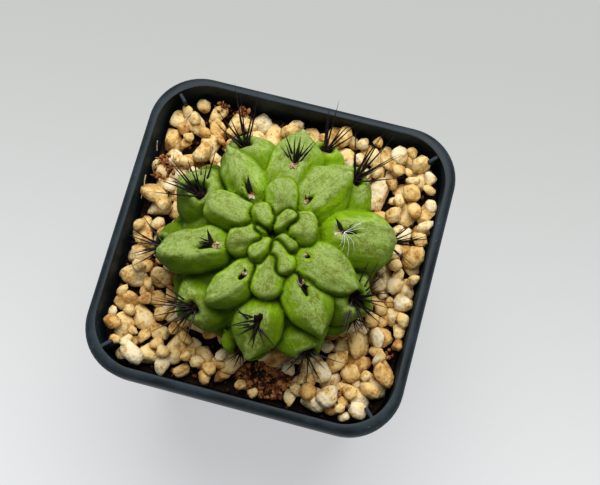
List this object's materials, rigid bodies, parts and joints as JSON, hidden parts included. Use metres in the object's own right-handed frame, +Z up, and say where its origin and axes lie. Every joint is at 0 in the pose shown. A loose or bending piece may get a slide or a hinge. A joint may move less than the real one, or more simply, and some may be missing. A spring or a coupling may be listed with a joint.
{
  "type": "potted eriosyce cactus",
  "caption": "Small ribbed globular cactus with dark spines, standing in a square plastic nursery pot top-dressed with tan pumice gravel.",
  "frame": {"origin": "centre of the pot's base, on the surface it stands on", "axes": "+Z up out of the pot, +X and +Y along the sides of the square pot"},
  "size_m": [0.075, 0.075, 0.0897],
  "materials": {
    "pot": "dark slate moulded polypropylene, semi-matte",
    "soil": "damp dark granular potting mix, dull",
    "gravel": "tan and cream pumice, dull and pitted",
    "skin": "waxy green plant skin with a grey-green bloom",
    "spine": "black-brown horny spines, satin"
  },
  "bodies": {
    "root": {"pot": "pot", "soil": "soil", "gravel": "gravel", "cactus_body": "skin", "spines_01": "spine", "spines_02": "spine", "spines_03": "spine", "spines_04": "spine", "spines_05": "spine", "spines_06": "spine", "spines_07": "spine", "spines_08": "spine", "spines_09": "spine", "spines_10": "spine", "spines_11": "spine", "spines_12": "spine", "spines_13": "spine", "spines_14": "spine", "spines_15": "spine", "spines_16": "spine", "spines_17": "spine", "spines_18": "spine", "spines_19": "spine", "spines_20": "spine", "spines_21": "spine", "spines_22": "spine", "spines_23": "spine", "spines_24": "spine", "spines_25": "spine", "spines_26": "spine", "spines_27": "spine", "spines_28": "spine", "spines_29": "spine"}
  },
  "joints": []
}
